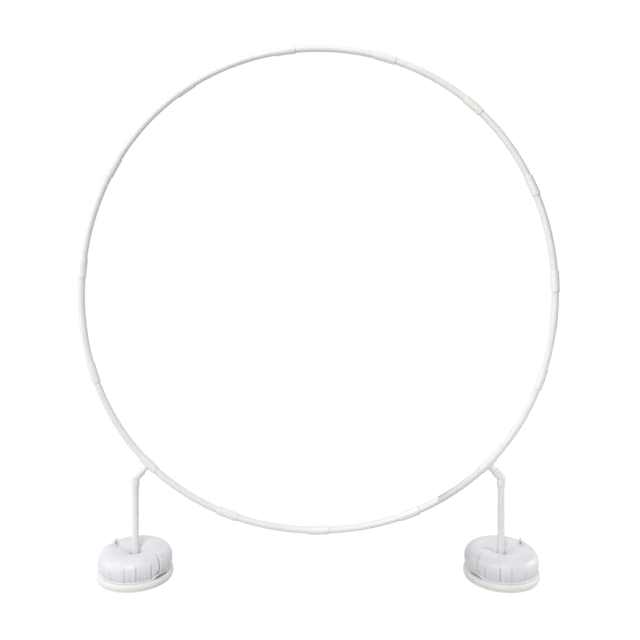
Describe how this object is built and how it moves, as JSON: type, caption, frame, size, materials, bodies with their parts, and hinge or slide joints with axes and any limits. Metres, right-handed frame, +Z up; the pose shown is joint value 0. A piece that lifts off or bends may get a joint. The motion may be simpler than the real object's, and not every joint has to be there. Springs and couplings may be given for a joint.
{
  "type": "round balloon arch stand",
  "caption": "Hoop of bent white tubes joined by sleeves, held upright by two short posts on round weighted bases with ring-shaped water bags.",
  "frame": {"origin": "on the floor, midway between the two bases, in the plane of the hoop", "axes": "+Z up, +X across the hoop towards its right foot as seen from the front, -Y towards the front"},
  "size_m": [1.7733, 0.274, 1.9502],
  "materials": {
    "tube_pvc": "extruded white PVC, satin",
    "fitting_pvc": "moulded white PVC, satin to gloss",
    "base_plastic": "moulded ivory plastic, fine matt",
    "bag_film": "soft white PVC film, water inside, faint bluish cast",
    "valve_plastic": "clear bluish soft PVC"
  },
  "bodies": {
    "hoop": {"hoop_tube_01": "tube_pvc", "hoop_tube_02": "tube_pvc", "hoop_tube_03": "tube_pvc", "hoop_tube_04": "tube_pvc", "hoop_tube_05": "tube_pvc", "hoop_tube_06": "tube_pvc", "hoop_tube_07": "tube_pvc", "hoop_tube_08": "tube_pvc", "hoop_tube_09": "tube_pvc", "hoop_tube_10": "tube_pvc", "hoop_tube_11": "tube_pvc", "hoop_tube_12": "tube_pvc", "hoop_tube_13": "tube_pvc", "hoop_tube_14": "tube_pvc", "hoop_tube_15": "tube_pvc", "coupling_01": "fitting_pvc", "coupling_02": "fitting_pvc", "coupling_03": "fitting_pvc", "coupling_04": "fitting_pvc", "coupling_05": "fitting_pvc", "coupling_06": "fitting_pvc", "coupling_07": "fitting_pvc", "coupling_08": "fitting_pvc", "coupling_09": "fitting_pvc", "coupling_10": "fitting_pvc", "coupling_11": "fitting_pvc", "coupling_12": "fitting_pvc", "coupling_13": "fitting_pvc", "tee_left": "fitting_pvc", "tee_right": "fitting_pvc"},
    "foot_left": {"elbow_left": "fitting_pvc", "post_left": "tube_pvc"},
    "base_left": {"base_left": "base_plastic"},
    "bag_left": {"water_bag_left": "bag_film", "valve_left": "valve_plastic"},
    "plug_left": {"valve_plug_left": "valve_plastic"},
    "foot_right": {"elbow_right": "fitting_pvc", "post_right": "tube_pvc"},
    "base_right": {"base_right": "base_plastic"},
    "bag_right": {"water_bag_right": "bag_film", "valve_right": "valve_plastic"},
    "plug_right": {"valve_plug_right": "valve_plastic"}
  },
  "joints": [
    {"name": "foot_swivel_left", "type": "hinge", "parent": "hoop", "child": "foot_left", "pos_m": [-0.67282, 0, 0.3591], "axis": [-0.7023, 0, -0.7118], "continuous": true},
    {"name": "base_pull_off_left", "type": "slide", "parent": "foot_left", "child": "base_left", "axis": [0, 0, -1], "range_m": [0, 0.055]},
    {"name": "bag_lift_left", "type": "slide", "parent": "base_left", "child": "bag_left", "axis": [0, 0, 1], "range_m": [0, 0.2]},
    {"name": "plug_flip_left", "type": "hinge", "parent": "bag_left", "child": "plug_left", "pos_m": [-0.75982, 0.01755, 0.1193], "axis": [0, -1, 0], "range_deg": [0, 150]},
    {"name": "foot_swivel_right", "type": "hinge", "parent": "hoop", "child": "foot_right", "pos_m": [0.67282, 0, 0.3591], "axis": [0.7023, 0, -0.7118], "continuous": true},
    {"name": "base_pull_off_right", "type": "slide", "parent": "foot_right", "child": "base_right", "axis": [0, 0, -1], "range_m": [0, 0.055]},
    {"name": "bag_lift_right", "type": "slide", "parent": "base_right", "child": "bag_right", "axis": [0, 0, 1], "range_m": [0, 0.2]},
    {"name": "plug_flip_right", "type": "hinge", "parent": "bag_right", "child": "plug_right", "pos_m": [0.75982, 0.01755, 0.1193], "axis": [0, 1, 0], "range_deg": [0, 150]}
  ]
}
